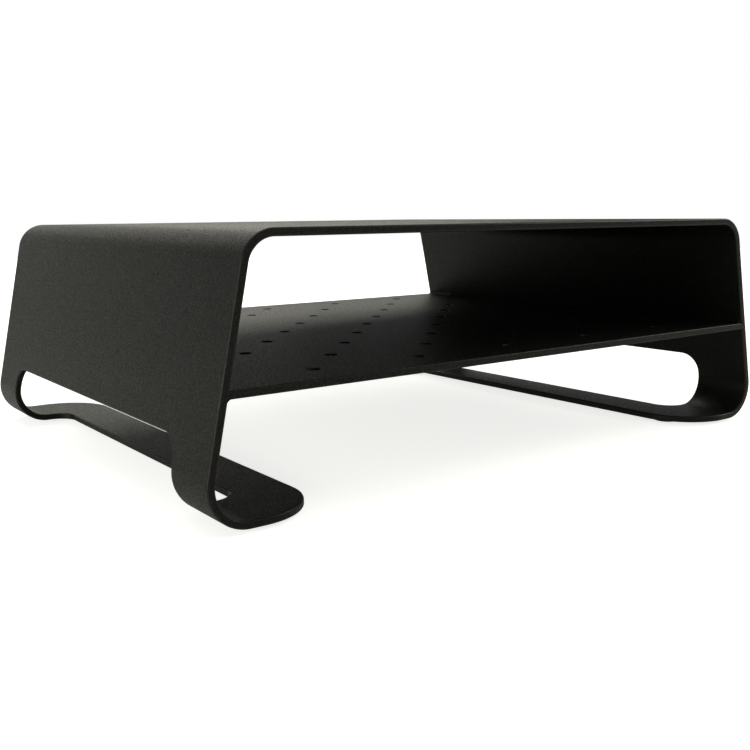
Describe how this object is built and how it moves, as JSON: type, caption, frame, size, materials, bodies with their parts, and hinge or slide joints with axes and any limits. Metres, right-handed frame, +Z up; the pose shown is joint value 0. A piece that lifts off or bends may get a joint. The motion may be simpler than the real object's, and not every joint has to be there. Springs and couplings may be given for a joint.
{
  "type": "monitor riser stand",
  "caption": "Low steel desk stand: a bent sheet top on splayed legs with curled feet, leg cut-outs and a perforated storage shelf welded between the legs.",
  "frame": {"origin": "on the desk, under the middle of the stand", "axes": "+Z up, +X along the stand's width to the right, -Y towards the user"},
  "size_m": [0.3116, 0.25, 0.1035],
  "materials": {
    "sheet_coat": "black fine-texture powder coat, matt",
    "shelf_coat": "black fine-texture powder coat, matt",
    "weld_coat": "weld bead under the same black powder coat",
    "pad_rubber": "matt black"
  },
  "bodies": {
    "root": {"riser_body": "sheet_coat", "storage_shelf": "shelf_coat", "weld_upper_left_1": "weld_coat", "weld_upper_left_2": "weld_coat", "weld_lower_left_1": "weld_coat", "weld_lower_left_2": "weld_coat", "weld_lower_left_3": "weld_coat", "weld_upper_right_1": "weld_coat", "weld_upper_right_2": "weld_coat", "weld_upper_right_3": "weld_coat", "weld_lower_right_1": "weld_coat", "weld_lower_right_2": "weld_coat", "foot_pad_front_left": "pad_rubber", "foot_pad_front_right": "pad_rubber", "foot_pad_rear_left": "pad_rubber", "foot_pad_rear_right": "pad_rubber"}
  },
  "joints": []
}
